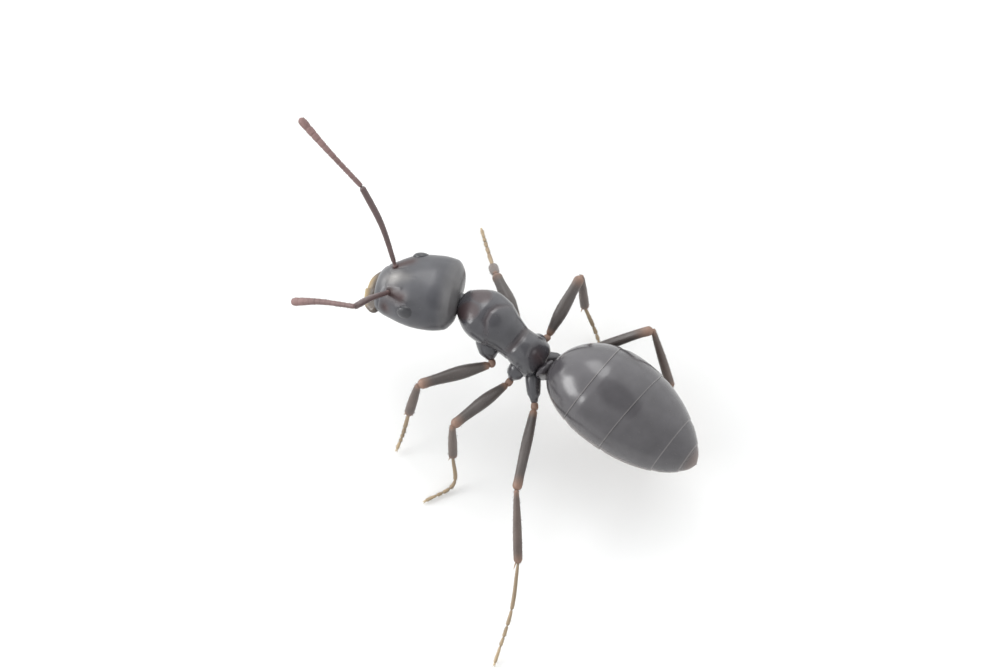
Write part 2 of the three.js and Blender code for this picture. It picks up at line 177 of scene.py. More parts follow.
def table(rows):
    """Smooth curves through the columns of a table, with no overshoot between its rows."""
    rows = np.array(rows, float)
    at, values = rows[:, 0], rows[:, 1:]
    slopes = np.diff(values, axis=0) / np.diff(at)[:, None]
    before, after = slopes[:-1], slopes[1:]
    same_way = before * after > 0
    inner = np.where(same_way, 2 * before * after / np.where(same_way, before + after, 1), 0)
    tangents = np.vstack([slopes[:1], inner, slopes[-1:]])

    def value(where):
        where = np.asarray(where, float)
        i = np.clip(np.searchsorted(at, where, side="right") - 1, 0, len(at) - 2)
        span = (at[i + 1] - at[i])[:, None]
        t = np.clip((where - at[i])[:, None] / span, 0, 1)
        rise = t * t * (3 - 2 * t)
        bow = span * t * (1 - t) * ((1 - t) * tangents[i] - t * tangents[i + 1])
        return values[i] * (1 - rise) + values[i + 1] * rise + bow

    return value


def smoothstep(value, low, high):
    t = np.clip((value - low) / (high - low), 0, 1)
    return t * t * (3 - 2 * t)


def mark(distance, width):
    """1 on a line or spot and fading to 0 a few widths away from it."""
    return np.exp(-((distance / width) ** 2))


def near_line(points, line):
    """Distance from each point to a line made of straight stretches."""
    points, line = np.asarray(points, float), np.asarray(line, float)
    best = np.full(points.shape[:-1], np.inf)
    for a, b in zip(line, line[1:]):
        t = np.clip(((points - a) @ (b - a)) / ((b - a) @ (b - a)), 0, 1)
        best = np.minimum(best, np.linalg.norm(points - a - t[..., None] * (b - a), axis=-1))
    return best


def unit(vectors):
    return vectors / np.linalg.norm(vectors, axis=-1, keepdims=True)


def dense(points, steps=48):
    """Smooth line through a few points, as many short stretches."""
    p = np.array(points, float)
    p = np.vstack([2 * p[0] - p[1], p, 2 * p[-1] - p[-2]])
    t = np.linspace(0, 1, steps, endpoint=False)[:, None]
    stretches = [
        0.5 * (2 * b + (c - a) * t + (2 * a - 5 * b + 4 * c - d) * t**2 + (3 * (b - c) + d - a) * t**3)
        for a, b, c, d in zip(p, p[1:], p[2:], p[3:])
    ]
    return np.vstack([*stretches, p[-2:-1]])


def walk(points, shares):
    """Places along a smooth line at the given shares of its length, and that length."""
    line = dense(points)
    run = np.r_[0, np.cumsum(np.linalg.norm(np.diff(line, axis=0), axis=1))]
    at = np.asarray(shares) * run[-1]
    return np.stack([np.interp(at, run, line[:, k]) for k in range(3)], axis=1), run[-1]


def cosine_steps(count):
    """Shares from 0 to 1 that crowd towards both ends."""
    return 0.5 - 0.5 * np.cos(np.linspace(0.02, np.pi - 0.02, count))


def rings_along(line, radii, sides, flat=1.0, across=UP):
    """Rings about a line. flat squeezes them along the direction that lies nearest to across."""
    along = unit(np.gradient(line, axis=0))
    side = unit(np.cross(np.broadcast_to(across, along.shape), along))
    over = np.cross(side, along)
    angle = np.linspace(0, 2 * np.pi, sides, endpoint=False)
    cos, sin = np.cos(angle)[None, :, None], np.sin(angle)[None, :, None]
    spokes = cos * side[:, None] + flat * sin * over[:, None]
    return line[:, None] + np.asarray(radii)[:, None, None] * spokes


def limb(points, profile, sides=20, count=44, flat=1.0, across=UP):
    """Limb with round ends along a smooth line. profile(share) is its radius."""
    shares = cosine_steps(count)
    line, length = walk(points, shares)
    radii = np.asarray(profile(shares))
    to_end = np.clip(np.minimum(shares, 1 - shares) * length / radii, 0, 1)
    return rings_along(line, radii * np.sqrt(1 - (1 - to_end) ** 2), sides, flat, across)


def profile(*pairs):
    """Radius along a limb from pairs of a share and a radius."""
    value = table(pairs)
    return lambda shares: value(shares)[:, 0]


def relief(grid, height):
    """Lifts each point of a grid of rings off the surface by its height."""
    normal = unit(np.cross(np.gradient(grid, axis=0), np.roll(grid, -1, 1) - np.roll(grid, 1, 1)))
    return grid + normal * height[..., None]


def body_rings(at, half_width, top, bottom, level, sides, squareness=1.0):
    """Rings across Y, egg-shaped above and below their widest level."""
    angle = np.linspace(0, 2 * np.pi, sides, endpoint=False)
    cos, sin = np.cos(angle), np.sin(angle)
    cos = np.sign(cos) * np.abs(cos) ** squareness
    sin = np.sign(sin) * np.abs(sin) ** squareness
    reach = np.where(sin > 0, (top - level)[:, None], (level - bottom)[:, None])
    x = half_width[:, None] * cos
    z = level[:, None] + reach * sin
    y = np.broadcast_to(at[:, None], x.shape)
    return np.stack([x, y, z], axis=-1)


def body(sections, start, end, count, sides, cap_start, cap_end, squareness=1.0):
    """Round-ended body from a table of sections, a little inside them."""
    share = cosine_steps(count)
    at = start + (end - start) * share
    half_width, top, bottom, level = table(sections)(at).T
    inset = (half_width - INSET) / half_width
    to_start = np.clip((at - start) / cap_start, 0, 1)
    to_end = np.clip((end - at) / cap_end, 0, 1)
    cap = np.sqrt(1 - (1 - to_start) ** 2) * np.sqrt(1 - (1 - to_end) ** 2) * inset
    top, bottom = level + (top - level) * cap, level + (bottom - level) * cap
    return body_rings(at, half_width * cap, top, bottom, level, sides, squareness)


def turn(degrees, axis):
    a = math.radians(degrees)
    c, s = math.cos(a), math.sin(a)
    return {
        "x": np.array(((1, 0, 0), (0, c, -s), (0, s, c))),
        "y": np.array(((c, 0, s), (0, 1, 0), (-s, 0, c))),
        "z": np.array(((c, -s, 0), (s, c, 0), (0, 0, 1))),
    }[axis]


def placed(points, centre, pitch=0, yaw=0, roll=0):
    """Points of a body part's own frame in the ant's frame."""
    turned = turn(yaw, "z") @ turn(pitch, "x") @ turn(roll, "y")
    return np.asarray(points, float) @ turned.T + np.array(centre, float)


def on_head(points):
    return placed(points, HEAD_CENTRE, HEAD_PITCH, HEAD_YAW, HEAD_ROLL)


def on_mesosoma(points):
    return placed(points, NECK, MESOSOMA_PITCH)


def solid(grid, tint=0.0, pale=0.0):
    """Closed shape through a grid of rings, with its colour marks at each point."""
    rings, sides = grid.shape[:2]
    index = np.arange(rings * sides).reshape(rings, sides)
    following = np.roll(index, -1, 1)
    quads = np.stack([index[:-1], index[1:], following[1:], following[:-1]], axis=-1).reshape(-1, 4)
    first, last = rings * sides, rings * sides + 1
    start = np.stack([np.full(sides, first), index[0], following[0]], axis=-1)
    end = np.stack([np.full(sides, last), following[-1], index[-1]], axis=-1)
    marks = []
    for value in (tint, pale):
        value = np.broadcast_to(value, (rings, sides))
        marks.append(np.r_[value.ravel(), value[0].mean(), value[-1].mean()])
    return {
        "points": np.vstack([grid.reshape(-1, 3), grid[0].mean(0), grid[-1].mean(0)]),
        "faces": [quads, start, end],
        "tint": marks[0],
        "pale": marks[1],
    }


def ant_shift():
    """Where the ant's own frame stands in the row, from the box of its left eye."""
    low, high = (np.array(corner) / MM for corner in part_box("eye_left"))
    return (low + high) / 2 - on_head(EYE_CENTRE)


SHIFT = ant_shift()


def to_row(points):
    return (np.asarray(points, float) + SHIFT) * MM


def piece(name, shapes, material, nodes=()):
    """One object of several closed shapes, which rides on the ant and stands for its solids."""
    points, faces, offset = [], [], 0
    for shape in shapes:
        points.append(shape["points"])
        faces += [face + offset for face in shape["faces"]]
        offset += len(shape["points"])
    mesh = bpy.data.meshes.new(name)
    corners = [face for block in faces for face in block.tolist()]
    mesh.from_pydata(to_row(np.vstack(points)).tolist(), [], corners)
    mesh.shade_smooth()
    for mark_name in ("tint", "pale"):
        attribute = mesh.attributes.new(mark_name, "FLOAT", "POINT")
        attribute.data.foreach_set("value", np.concatenate([shape[mark_name] for shape in shapes]))
    mesh.materials.append(material)
    made = bpy.data.objects.new(name, mesh)
    bpy.context.scene.collection.objects.link(made)
    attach(made, "root")
    if nodes:
        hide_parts(*nodes)
    return made


# ---- materials ------------------------------------------------------------------------------


def node(tree, kind, **values):
    made = tree.nodes.new(kind)
    for key, value in values.items():
        if hasattr(made, key):
            setattr(made, key, value)
        else:
            made.inputs[key.replace("_", " ").title()].default_value = value
    return made


def noise(tree, place, scale, detail=2.0, stretch=(1, 1, 1)):
    """Noise with its scale in features for each millimetre."""
    mapping = node(tree, "ShaderNodeMapping", scale=[s / MM for s in stretch])
    tree.links.new(place, mapping.inputs["Vector"])
    made = node(tree, "ShaderNodeTexNoise", scale=scale, detail=detail)
    tree.links.new(mapping.outputs["Vector"], made.inputs["Vector"])
    return made.outputs["Fac"]


def cells(tree, place, scale, feature="DISTANCE_TO_EDGE"):
    mapping = node(tree, "ShaderNodeMapping", scale=(1 / MM,) * 3)
    tree.links.new(place, mapping.inputs["Vector"])
    made = node(tree, "ShaderNodeTexVoronoi", feature=feature, scale=scale)
    tree.links.new(mapping.outputs["Vector"], made.inputs["Vector"])
    return made.outputs["Distance"]


def ranged(tree, value, low, high, to_low, to_high):
    made = node(tree, "ShaderNodeMapRange")
    tree.links.new(value, made.inputs["Value"])
    for key, number in (("From Min", low), ("From Max", high), ("To Min", to_low), ("To Max", to_high)):
        made.inputs[key].default_value = number
    return made.outputs["Result"]


def blended(tree, share, first, second, mode="MIX"):
    """Mixes two colours, each a socket or a colour, by a socket."""
    made = node(tree, "ShaderNodeMix", data_type="RGBA", blend_type=mode)
    colours = (s for s in made.inputs if s.type == "RGBA")
    for socket, colour in zip(colours, (first, second)):
        if isinstance(colour, bpy.types.NodeSocket):
            tree.links.new(colour, socket)
        else:
            socket.default_value = (*colour, 1)
    if isinstance(share, bpy.types.NodeSocket):
        tree.links.new(share, made.inputs[0])
    else:
        made.inputs[0].default_value = share
    return next(s for s in made.outputs if s.type == "RGBA")


def bumped(tree, heights):
    """Chain of bumps. Each is a height socket and its depth in millimetres."""
    normal = None
    for height, depth in heights:
        bump = node(tree, "ShaderNodeBump")
        bump.inputs["Strength"].default_value = 1
        bump.inputs["Distance"].default_value = depth * MM
        tree.links.new(height, bump.inputs["Height"])
        if normal:
            tree.links.new(normal, bump.inputs["Normal"])
        normal = bump.outputs["Normal"]
    return normal


FAINT_NET = 0.00002  # depth of the net on smooth shell, in millimetres
GRAIN_SPREAD = 0.02  # how far the grain shifts the roughness either way
TINT_ROUGHENS = 0.25  # how much rougher the shell is where tint is 1
CUTICLE_SPECULAR = 0.55
COAT_ROUGHNESS = 0.16


def cuticle(name, dark, warm, pale, roughness, net=70, net_depth=0.0002, stretch=(1, 1, 1), coat=0.0):
    """Insect shell: dark, warmer where tint is 1 and pale where pale is 1, with a fine net on it."""
    material = bpy.data.materials.new(name)
    material.use_nodes = True
    tree = material.node_tree
    shader = tree.nodes["Principled BSDF"]
    place = node(tree, "ShaderNodeTexCoord").outputs["Object"]
    clouds = noise(tree, place, 4, 2)
    grain = noise(tree, place, 55, 2, stretch)
    marks = [
        node(tree, "ShaderNodeAttribute", attribute_name=name_of_mark).outputs["Fac"]
        for name_of_mark in ("tint", "pale")
    ]
    colour = blended(tree, marks[0], dark, warm)
    colour = blended(tree, marks[1], colour, pale)
    shade = ranged(tree, clouds, 0.3, 0.7, 0.86, 1.14)
    colour = blended(tree, 1.0, colour, grey_of(tree, shade), "MULTIPLY")
    tree.links.new(colour, shader.inputs["Base Color"])
    rough = node(tree, "ShaderNodeMath", operation="MULTIPLY_ADD")
    tree.links.new(marks[0], rough.inputs[0])
    rough.inputs[1].default_value = TINT_ROUGHENS
    smooth, dull = roughness - GRAIN_SPREAD, roughness + GRAIN_SPREAD
    tree.links.new(ranged(tree, grain, 0.3, 0.7, smooth, dull), rough.inputs[2])
    tree.links.new(rough.outputs[0], shader.inputs["Roughness"])
    shader.inputs["Specular IOR Level"].default_value = CUTICLE_SPECULAR
    shader.inputs["Coat Weight"].default_value = coat
    shader.inputs["Coat Roughness"].default_value = COAT_ROUGHNESS
    normal = bumped(tree, [(cells(tree, place, net), net_depth), (grain, 0.00008), (clouds, 0.0015)])
    tree.links.new(normal, shader.inputs["Normal"])
    return material


def grey_of(tree, value):
    made = node(tree, "ShaderNodeCombineColor")
    for channel in made.inputs:
        tree.links.new(value, channel)
    return made.outputs["Color"]


# Dark reddish brown: the real colour of the head's pits and jaw hinges, and on the trunk also the colour of
# its painted reflections and painted shade.
DEEP_RED = (0.04, 0.017, 0.017)
# The head's pale colour is a light neutral grey: it paints its highlights and the light on its back rim, and
# its pale front margin.
HEAD = cuticle(
    "head", (0.05, 0.05, 0.057), DEEP_RED, (0.4, 0.38, 0.35), 0.32, net_depth=FAINT_NET, coat=0.12
)
SHELL = cuticle(
    "shell", (0.052, 0.051, 0.057), DEEP_RED, (0.4, 0.34, 0.23), 0.24, net_depth=FAINT_NET, coat=0.25
)
GASTER = cuticle(
    "gaster", (0.066, 0.062, 0.067), (0.2, 0.125, 0.09), (0.32, 0.3, 0.29), 0.24,
    90, FAINT_NET, (0.5, 1.5, 0.5), 0.28,
)
LIMB = cuticle(
    "limb", (0.074, 0.062, 0.057), (0.33, 0.19, 0.13), (0.5, 0.38, 0.24), 0.4,
    80, 0.0001, (1.6, 0.8, 1.6),
)
FOOT = cuticle("foot", (0.22, 0.16, 0.1), (0.42, 0.32, 0.2), (0.6, 0.5, 0.33), 0.42)
FEELER = cuticle("feeler", (0.1, 0.064, 0.062), (0.22, 0.125, 0.115), (0.34, 0.22, 0.18), 0.38, 90)
JAW = cuticle("jaw", (0.09, 0.07, 0.055), (0.28, 0.2, 0.1), (0.44, 0.37, 0.2), 0.33, 60, coat=0.15)
EYE = cuticle(
    "eye", (0.03, 0.03, 0.034), (0.06, 0.06, 0.062), (0.1, 0.1, 0.1), 0.32, 60, 0.00005, coat=0.1
)
HAIR = cuticle("hair", (0.17, 0.15, 0.13), (0.3, 0.25, 0.2), (0.5, 0.45, 0.35), 0.4, 80, 0.0001)


# ---- coat of fine hairs ---------------------------------------------------------------------

HAIR_SIDES = 3
PATCH = 0.0015  # half the width of a hair's place on the skin's unwrap
GROWTH = np.random.default_rng(7)


def hairs(grid, count, length, width, lean, rows=(0.02, 0.98), columns=(0, 1), tint=0.0):
    """Tapering hairs on a grid of rings, which lie towards its later rings."""
    rings, sides = grid.shape[:2]
    i = (GROWTH.uniform(*rows, count) * (rings - 2)).astype(int)
    j = (GROWTH.uniform(*columns, count) * sides).astype(int) % sides
    root = grid[i, j]
    back = unit(grid[i + 1, j] - root)
    round_ = unit(grid[i, (j + 1) % sides] - root)
    normal = unit(np.cross(back, round_))
    sway = GROWTH.normal(0, 0.16, (count, 1))
    lie = lean * GROWTH.uniform(0.6, 1.4, (count, 1))
    flat = unit(back + sway * round_)
    first = unit(flat * np.cos(lie * 1.5) + normal * np.sin(lie * 1.5))
    second = unit(flat * np.cos(lie * 0.4) + normal * np.sin(lie * 0.4))
    long = length * GROWTH.uniform(0.65, 1.25, (count, 1))
    half = root + first * long * 0.5
    tip = half + second * long * 0.5
    side = unit(np.cross(first, normal + 0.01))
    over = np.cross(side, first)
    angle = np.arange(HAIR_SIDES) * 2 * np.pi / HAIR_SIDES
    cos, sin = np.cos(angle)[None, :, None], np.sin(angle)[None, :, None]
    spokes = cos * side[:, None] + sin * over[:, None]
    points = np.concatenate(
        [
            (root - normal * width)[:, None] + spokes * width,
            half[:, None] + spokes * width * 0.7,
            tip[:, None],
        ],
        axis=1,
    )
    uv = np.stack([j / sides, i / rings], axis=-1)
    return {"points": points, "uv": uv, "tint": tint}


def coat(name, tufts, material, slot):
    """Joins hairs into one object, each with its own small patch on the unwrap."""
    points = np.concatenate([tuft["points"] for tuft in tufts])
    roots = np.concatenate([tuft["uv"] for tuft in tufts])
    tint = np.concatenate([np.full(len(tuft["points"]), tuft["tint"]) for tuft in tufts])
    each = 2 * HAIR_SIDES + 1
    a = np.arange(HAIR_SIDES)
    b = (a + 1) % HAIR_SIDES
    walls = np.stack([a, b, b + HAIR_SIDES, a + HAIR_SIDES], axis=-1)
    tops = np.stack([a + HAIR_SIDES, b + HAIR_SIDES, np.full(HAIR_SIDES, each - 1)], axis=-1)
    base = np.array([a[::-1]])
    start = np.arange(len(points))[:, None, None] * each
    faces = []
    for block in (walls, tops, base):
        faces += (block[None] + start).reshape(-1, block.shape[1]).tolist()
    mesh = bpy.data.meshes.new(name)
    mesh.from_pydata(to_row(points.reshape(-1, 3)).tolist(), [], faces)
    mesh.shade_smooth()
    corner = np.empty(len(mesh.loops), np.int64)
    mesh.loops.foreach_get("vertex_index", corner)
    angle = np.arange(HAIR_SIDES) * 2 * np.pi / HAIR_SIDES
    patch = np.vstack(
        [
            PATCH * np.stack([np.cos(angle), np.sin(angle)], axis=-1),
            0.5 * PATCH * np.stack([np.cos(angle), np.sin(angle)], axis=-1),
            (0, 0),
        ]
    )
    layer = mesh.uv_layers.new(name="OFBake")
    layer.data.foreach_set("uv", (roots[corner // each] + patch[corner % each]).ravel())
    for mark_name, value in (("tint", np.repeat(tint, each)), ("pale", np.zeros(len(points) * each))):
        mesh.attributes.new(mark_name, "FLOAT", "POINT").data.foreach_set("value", value)
    mesh.materials.append(material)
    made = bpy.data.objects.new(name, mesh)
    bpy.context.scene.collection.objects.link(made)
    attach(made, "root")
    return made


# ---- head -----------------------------------------------------------------------------------


def both_sides(points, line):
    """Distance to a line on the left side or to its mirror image on the right."""
    mirrored = np.concatenate([np.abs(points[..., :1]), points[..., 1:]], axis=-1)
    return near_line(mirrored, line)


CLYPEAL_SUTURE = ((0, -0.285), (0.08, -0.29), (0.15, -0.33), (0.24, -0.4), (0.36, -0.44))
FRONTAL_CARINA = ((0.125, -0.3), (0.135, -0.2), (0.155, -0.08))
FEELER_FOSSA = ((0.215, -0.22), (0.285, -0.05))
FRONTAL_FURROW = ((0, -0.22), (0, 0.1))
JAW_HINGE = (0.37, -0.31, 0.12)


def skull():
    """Head capsule with its sutures, ridges and pits, and where it is reddish."""
    face, occiput = HEAD_SECTIONS[0][0], HEAD_SECTIONS[-1][0]
    grid = body(HEAD_SECTIONS, face, occiput, HEAD_RINGS, BODY_SIDES, 0.06, 0.06, 0.96)
    x, y, z = np.moveaxis(grid, -1, 0)
    grid[..., 1] -= OCCIPUT_NOTCH * np.cos(np.pi * x) ** 2 * smoothstep(y, NOTCH_START, occiput)
    plan = np.stack([x, y], axis=-1)
    top = smoothstep(z, 0.0, 0.1)
    under = 1 - smoothstep(z, -0.12, -0.02)
    clypeal_suture = both_sides(plan, CLYPEAL_SUTURE)
    carina = both_sides(plan, FRONTAL_CARINA)
    fossa = both_sides(plan, FEELER_FOSSA)
    socket = both_sides(plan, (SOCKET[:2], (SOCKET[0] + 0.001, SOCKET[1])))
    furrow = near_line(plan, FRONTAL_FURROW)
    height = top * (
        0.02 * mark(np.hypot(x / 0.2, (y + 0.42) / 0.11), 1)
        - 0.008 * mark(clypeal_suture, 0.02)
        - 0.007 * mark(near_line(plan, ((0, -0.26), (0, -0.24))), 0.035)
        + 0.009 * mark(carina, 0.03)
        - 0.006 * mark(fossa, 0.075)
        - 0.016 * mark(socket, 0.034)
        - 0.002 * mark(furrow, 0.012)
        + 0.007 * mark(np.hypot(x / 0.1, (y + 0.02) / 0.12), 1)
    )
    eye = np.stack([np.abs(x), y, z], axis=-1) - np.array(EYE_CENTRE)
    eye = np.linalg.norm((eye @ turn(EYE_TURN, "y")) / np.array(EYE_RADII), axis=-1)
    height += 0.004 * mark(eye - 1, 0.45)
    across, along, up = JAW_HINGE
    hinge = np.sqrt((np.abs(x) - across) ** 2 + (y - along) ** 2 + (z - up) ** 2)
    height -= 0.015 * mark(hinge, 0.055)
    mouth = np.hypot(x / 0.19, (y + 0.46) / 0.13)
    throat = near_line(plan, ((0, -0.2), (0, 0.4)))
    height -= under * (0.09 * mark(mouth, 0.9) + 0.01 * mark(throat, 0.012))
    tint = top * mark(fossa, 0.075) + mark(hinge, 0.085) + 0.6 * mark(socket, 0.05)
    front = smoothstep(-y, 0.46, 0.56)
    # Painted highlight: a pale patch on the clypeus and between the feeler sockets.
    clypeus_highlight = np.hypot(x / 0.13, (y + 0.21) / 0.18)
    # Painted highlight: a small pale spot in the middle of the head's top.
    crown_highlight = mark(np.hypot(x, y) / 0.07, 1)
    # Painted light: the back rim of the head by the neck is paler, to lift the shade between head and
    # pronotum.
    back = smoothstep(y, 0.42, 0.58)
    # The pale mark is the real pale front margin plus the painted highlights and painted light above.
    pale = 0.12 * front + 0.14 * back + top * (0.45 * mark(clypeus_highlight, 0.8) + 0.12 * crown_highlight)
    return relief(grid, height), np.clip(tint, 0, 1), np.clip(pale, 0, 1)


FACET = 0.0155  # from one facet of the eye to the next
FACET_BULGE = 0.0032


def eyeball(side):
    """Compound eye: a flattened dome of about two hundred six-sided facets."""
    away = cosine_steps(120) * np.pi
    round_ = np.linspace(0, 2 * np.pi, 220, endpoint=False)
    radii = np.array(EYE_RADII) - 0.004
    x = radii[0] * np.cos(away)[:, None] * np.ones_like(round_)
    y = radii[1] * np.sin(away)[:, None] * np.cos(round_)
    z = radii[2] * np.sin(away)[:, None] * np.sin(round_)
    row_height = FACET * math.sqrt(3)
    near = np.full(x.shape, np.inf)
    for shift in (0, 0.5):
        dy = (y / FACET + shift + 0.5) % 1 - 0.5
        dz = (z / row_height + shift + 0.5) % 1 - 0.5
        near = np.minimum(near, np.hypot(dy * FACET, dz * row_height))
    outward = smoothstep(x / radii[0], 0.1, 0.4)
    swell = 1 + outward * FACET_BULGE * (1 - (near / (0.6 * FACET)) ** 2) / radii[0]
    grid = np.stack([x * swell, y, z], axis=-1) @ turn(-EYE_TURN, "y").T
    grid = (grid + np.array(EYE_CENTRE)) * np.array((side, 1, 1))
    return grid if side > 0 else grid[:, ::-1]


TEETH = 7
JAW_OUTER_EDGE = ((0.335, -0.49, -0.12), (0.31, -0.6, -0.125), (0.19, -0.71, -0.14), (-0.015, -0.75, -0.155))
JAW_INNER_EDGE = ((0.19, -0.47, -0.13), (0.15, -0.54, -0.14), (0.09, -0.585, -0.145), (-0.02, -0.6, -0.15))


def mandible(side):
    """Triangular blade that bears seven small teeth where it crosses the other at the middle line."""
    share = cosine_steps(70)
    outer, _ = walk(JAW_OUTER_EDGE, share)
    inner, _ = walk(JAW_INNER_EDGE, share)
    angle = np.linspace(0, 2 * np.pi, 96, endpoint=False)
    across = np.cos(angle)
    round_end = np.sqrt(1 - (1 - np.clip(share / 0.15, 0, 1)) ** 2)
    thick = np.interp(share, (0, 0.4, 1), (0.06, 0.045, 0.02)) * round_end
    centre, reach = (outer + inner) / 2, (outer - inner) / 2
    grid = centre[:, None] + reach[:, None] * (round_end[:, None] * across)[..., None]
    grid = grid + UP * (thick[:, None] * np.sin(angle))[..., None]
    saw = np.abs((across * TEETH / 2) % 1 - 0.5) * 2
    grid[..., 0] -= 0.022 * saw * smoothstep(share, 0.85, 1)[:, None]
    grid[..., 2] += 0.022 * side * smoothstep(share, 0.6, 1)[:, None]
    tint = smoothstep(across, -0.4, 0.6)[None, :] * smoothstep(share, 0.3, 0.6)[:, None]
    pale = 0.8 * smoothstep(across, 0.6, 1)[None, :] * smoothstep(share, 0.45, 0.7)[:, None]
    grid = grid * np.array((side, 1, 1))
    return (grid[:, ::-1], tint[:, ::-1], pale[:, ::-1]) if side > 0 else (grid, tint, pale)


LONG_PALP = ((0.09, -0.42, -0.27), (0.13, -0.46, -0.34), (0.15, -0.3, -0.385), (0.14, -0.1, -0.39))
SHORT_PALP = ((0.04, -0.44, -0.28), (0.05, -0.47, -0.33), (0.055, -0.38, -0.36))


def palp(joints, side, radius):
    """Feeler by the mouth, of short segments."""
    line, _ = walk([(x * side, y, z) for x, y, z in joints], np.linspace(0, 1, 6))
    thickness = profile((0, radius * 0.7), (0.7, radius), (1, radius * 0.8))
    return [solid(on_head(limb((a, b), thickness, 10, 14)), 0.7) for a, b in zip(line, line[1:])]


def add_head():
    grid, tint, pale = skull()
    grid = on_head(grid)
    neck = limb((on_head((0, 0.45, -0.1)), (0, -1.17, 1.44), on_mesosoma((0, 0.14, -0.02))),
                profile((0, 0.1), (0.5, 0.1), (1, 0.12)), 40, 40)
    piece("head_capsule", [solid(grid, tint, pale), solid(neck)], HEAD, ["head"])
    for name, side in SIDES:
        piece(f"eye_{name}_lens", [solid(on_head(eyeball(side)))], EYE, [f"eye_{name}"])
        blade, tint, pale = mandible(side)
        blade = solid(on_head(blade), tint, pale)
        piece(f"mandible_{name}_blade", [blade], JAW, [f"mandible_{name}"])
    mouth = []
    for _, side in SIDES:
        mouth += palp(LONG_PALP, side, 0.014)
        mouth += palp(SHORT_PALP, side, 0.011)
    tongue_line = ((0, -0.28, -0.24), (0, -0.4, -0.27), (0, -0.5, -0.25))
    tongue = limb(tongue_line, profile((0, 0.06), (0.5, 0.085), (1, 0.05)), 24, 24)
    piece("mouthparts", [*mouth, solid(on_head(tongue), 0.6)], JAW)
    return grid


# ---- feelers --------------------------------------------------------------------------------

# Radii of the lash, which has a pedicel and ten more segments.
LASH_RADII = (
    (0, 0.033), (0.1, 0.034), (0.3, 0.035), (0.6, 0.043),
    (0.85, 0.054), (0.93, 0.056), (0.97, 0.05), (1, 0.036),
)
LASH_SEGMENTS = (1.35, 0.8, 0.8, 0.8, 0.86, 0.9, 0.94, 0.98, 1.0, 1.0, 1.75)  # their lengths, by share
SCAPE_RADII = (
    (0, 0.026), (0.03, 0.033), (0.055, 0.022), (0.1, 0.031), (0.3, 0.036),
    (0.8, 0.045), (0.97, 0.042), (1, 0.036),
)


def add_feeler(name, joints):
    socket, bow, elbow, middle, tip = (np.array(p) for p in joints)
    tip = tip - 0.03 * unit(tip - middle)
    side = 1 if name == "left" else -1
    root = on_head((SOCKET[0] * side, SOCKET[1], SOCKET[2] - 0.035))
    scape = limb((root, bow, elbow), profile(*SCAPE_RADII), 24, 80)
    share = cosine_steps(80)[:, None]
    piece(f"scape_{name}", [solid(scape, 0.4 * (1 - smoothstep(share, 0, 0.15)))], FEELER,
          [f"antenna_{name}_scape"])
    lengths = np.array(LASH_SEGMENTS)
    ends = np.r_[0, np.cumsum(lengths)] / lengths.sum()
    share = np.linspace(0, 1, 420)
    segment = np.clip(np.searchsorted(ends, share, side="right") - 1, 0, len(lengths) - 1)
    within = (share - ends[segment]) / (ends[segment + 1] - ends[segment])
    wide = table(LASH_RADII)(share)[:, 0] * (1 - 0.15 * mark(within, 0.14) - 0.1 * mark(1 - within, 0.07))
    line, length = walk((elbow, middle, tip), share)
    to_end = np.clip(np.minimum(share * 2, 1 - share) * length / wide, 0.01, 1)
    lash = rings_along(line, wide * np.sqrt(1 - (1 - to_end) ** 2), 20)
    lash_shape = solid(lash, (0.35 + 0.5 * share)[:, None])
    piece(f"lash_{name}", [lash_shape], FEELER, [f"antenna_{name}_lash"])
    tufts = [hairs(scape, 200, 0.03, 0.0012, 0.45)]
    tufts.append(hairs(lash, 560, 0.026, 0.0011, 0.5))
    coat(f"hairs_feeler_{name}", tufts, HAIR, "feeler")


# ---- trunk ----------------------------------------------------------------------------------


def trunk_sections():
    """Rows of the trunk: its front swells like a quarter wave from the neck to its widest place."""
    neck, widest = np.array(TRUNK_FRONT, float), np.array(TRUNK_WIDEST, float)
    share = np.arange(FRONT_ROWS)[:, None] / FRONT_ROWS
    front = neck + (widest - neck) * np.sin(np.pi / 2 * share)
    front[:, 0] = (neck + (widest - neck) * share)[:, 0]
    return np.vstack([front, widest, TRUNK_BEHIND])


PRONOTAL_SEAM = (
    (0, 0.43, 0.39), (0.12, 0.46, 0.37), (0.22, 0.56, 0.31),
    (0.28, 0.64, 0.2), (0.33, 0.6, 0.06), (0.3, 0.46, -0.1),
)
PLEURAL_SEAM = ((0.62, 0.17), (0.8, 0.15), (0.95, 0.1))
METAPLEURAL_SEAM = ((0.95, 0.1), (1.0, -0.02), (1.02, -0.28))
LOWER_SEAM = ((0.2, -0.02), (0.45, -0.1))
WAIST = 0.965  # distance of the groove before the propodeum


